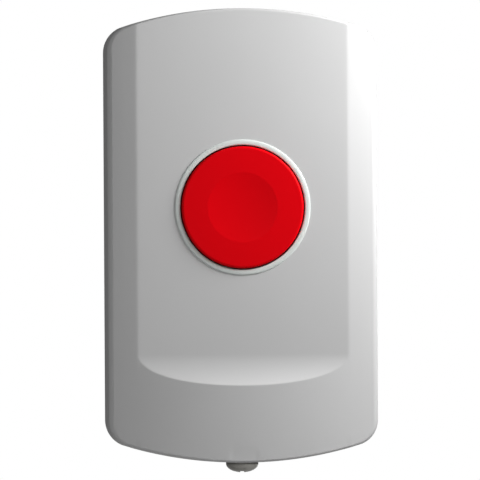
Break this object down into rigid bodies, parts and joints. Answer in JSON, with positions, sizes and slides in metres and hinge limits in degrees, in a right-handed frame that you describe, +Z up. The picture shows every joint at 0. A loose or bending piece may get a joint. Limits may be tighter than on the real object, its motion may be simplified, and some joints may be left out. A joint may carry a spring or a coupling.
{
  "type": "wireless panic button",
  "caption": "Wall-mounted wireless panic button: a crowned housing with a recessed channel, a red sprung button in a white ring and a cell inside.",
  "frame": {"origin": "centre of the back plate's rear face, on the wall", "axes": "+X to the right as seen from the front, +Y into the wall, +Z up; the button faces -Y"},
  "size_m": [0.0494, 0.0222, 0.0847],
  "materials": {
    "cover_plastic": "light grey ABS, moulded with a fine satin grain",
    "base_plastic": "light grey ABS, moulded, satin",
    "white_ring": "white translucent acrylic, polished",
    "red_button": "red ABS, semi-gloss",
    "spring_wire": "drawn spring steel wire",
    "board_laminate": "glass fibre laminate under a green solder mask",
    "black_plastic": "black nylon, matt",
    "tinned_steel": "tin plated sheet steel",
    "battery_can": "dark printed film sleeve over a steel can",
    "lamp_resin": "clear resin in a white lamp body",
    "capacitor_can": "drawn aluminium can",
    "chip_ceramic": "fired ceramic chip",
    "screw_steel": "nickel plated steel",
    "insert_brass": "turned brass"
  },
  "bodies": {
    "housing": {"front_cover": "cover_plastic", "base_plate": "base_plastic", "button_carrier": "white_ring", "button_spring": "spring_wire", "circuit_board": "board_laminate", "button_switch_case": "black_plastic", "button_switch_plate": "tinned_steel", "button_switch_terminal_1": "tinned_steel", "button_switch_terminal_2": "tinned_steel", "tamper_switch_case": "black_plastic", "tamper_spring": "spring_wire", "battery": "battery_can", "battery_contact_positive": "tinned_steel", "battery_contact_negative": "tinned_steel", "status_lamp_left": "lamp_resin", "status_lamp_right": "lamp_resin", "controller_chip": "black_plastic", "radio_shield": "tinned_steel", "crystal": "tinned_steel", "antenna": "spring_wire", "reservoir_capacitor": "capacitor_can", "chip_resistor_1": "chip_ceramic", "chip_resistor_2": "chip_ceramic", "chip_resistor_3": "chip_ceramic", "board_screw_left": "screw_steel", "board_screw_right": "screw_steel", "cover_screw": "screw_steel", "thread_insert": "insert_brass"},
    "button": {"panic_button": "red_button"},
    "switch_plunger": {"button_switch_plunger": "black_plastic"},
    "tamper_pin": {"tamper_plunger": "black_plastic"},
    "tamper_stem": {"tamper_switch_stem": "tinned_steel"}
  },
  "joints": [
    {"name": "button_press", "type": "slide", "parent": "housing", "child": "button", "axis": [0, 1, 0], "range_m": [0, 0.0008], "stiffness_N_per_m": 1000, "springref_m": -0.002, "deforming": ["button_spring"]},
    {"name": "switch_press", "type": "slide", "parent": "housing", "child": "switch_plunger", "axis": [0, 1, 0], "range_m": [0, 0.0002]},
    {"name": "tamper_release", "type": "slide", "parent": "housing", "child": "tamper_pin", "axis": [0, 1, 0], "range_m": [0, 0.0015], "stiffness_N_per_m": 150, "springref_m": 0.004, "deforming": ["tamper_spring"]},
    {"name": "tamper_stem_release", "type": "slide", "parent": "housing", "child": "tamper_stem", "axis": [0, 1, 0], "range_m": [0, 0.0002]}
  ],
  "couplings": [
    {"joint": "switch_press", "follows": "button_press", "ratio": 0.25},
    {"joint": "tamper_stem_release", "follows": "tamper_release", "ratio": 0.13333}
  ]
}
